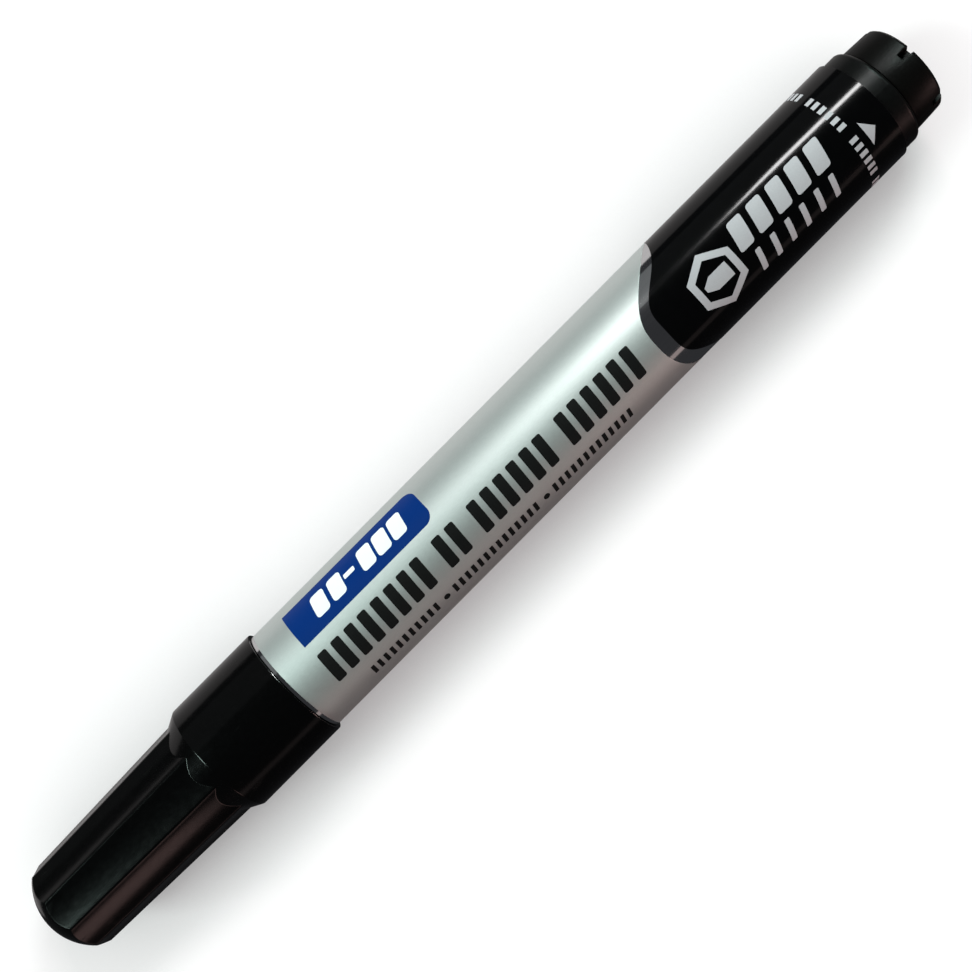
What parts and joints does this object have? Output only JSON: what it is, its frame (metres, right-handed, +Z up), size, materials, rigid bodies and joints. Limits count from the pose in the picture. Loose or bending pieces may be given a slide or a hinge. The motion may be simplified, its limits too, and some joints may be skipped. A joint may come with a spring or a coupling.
{
  "type": "whiteboard marker",
  "caption": "Refillable whiteboard marker with a round metal barrel, a fluted pull-off cap over a bullet nib, and a slotted pull-out plug at the rear for refilling.",
  "frame": {"origin": "on the surface that the marker lies on, below the middle of its length", "axes": "+X along the marker, from the cap to the refill plug; +Z up, out of the printed face"},
  "size_m": [0.1392, 0.0148, 0.0149],
  "materials": {
    "sleeve_metal": "polished bare metal",
    "tube_plastic": "semi-matt moulded plastic",
    "front_plastic": "semi-matt moulded plastic",
    "nib_fibre": "bonded fibre soaked with black ink",
    "ink_fibre": "soft fibre bundle soaked with black ink",
    "wrap_film": "clear film",
    "cap_plastic": "glossy moulded plastic",
    "liner_plastic": "waxy translucent moulded plastic",
    "plug_plastic": "matt moulded plastic",
    "silver_coat": "satin silver coat on the sleeve",
    "black_coat": "gloss black coat on the sleeve",
    "blue_print": "blue screen print",
    "black_print": "black screen print",
    "light_print": "light grey screen print"
  },
  "bodies": {
    "barrel": {"barrel_sleeve": "sleeve_metal", "inner_barrel": "tube_plastic", "front_section": "front_plastic", "nib": "nib_fibre", "ink_fibre": "ink_fibre", "fibre_wrap": "wrap_film"},
    "cap": {"cap_shell": "cap_plastic", "cap_end_disc": "cap_plastic", "cap_liner": "liner_plastic"},
    "plug": {"refill_plug": "plug_plastic"}
  },
  "joints": [
    {"name": "cap_pull", "type": "slide", "parent": "barrel", "child": "cap", "axis": [-1, 0, 0], "range_m": [0, 0.045]},
    {"name": "plug_pull", "type": "slide", "parent": "barrel", "child": "plug", "axis": [1, 0, 0], "range_m": [0, 0.03]}
  ]
}
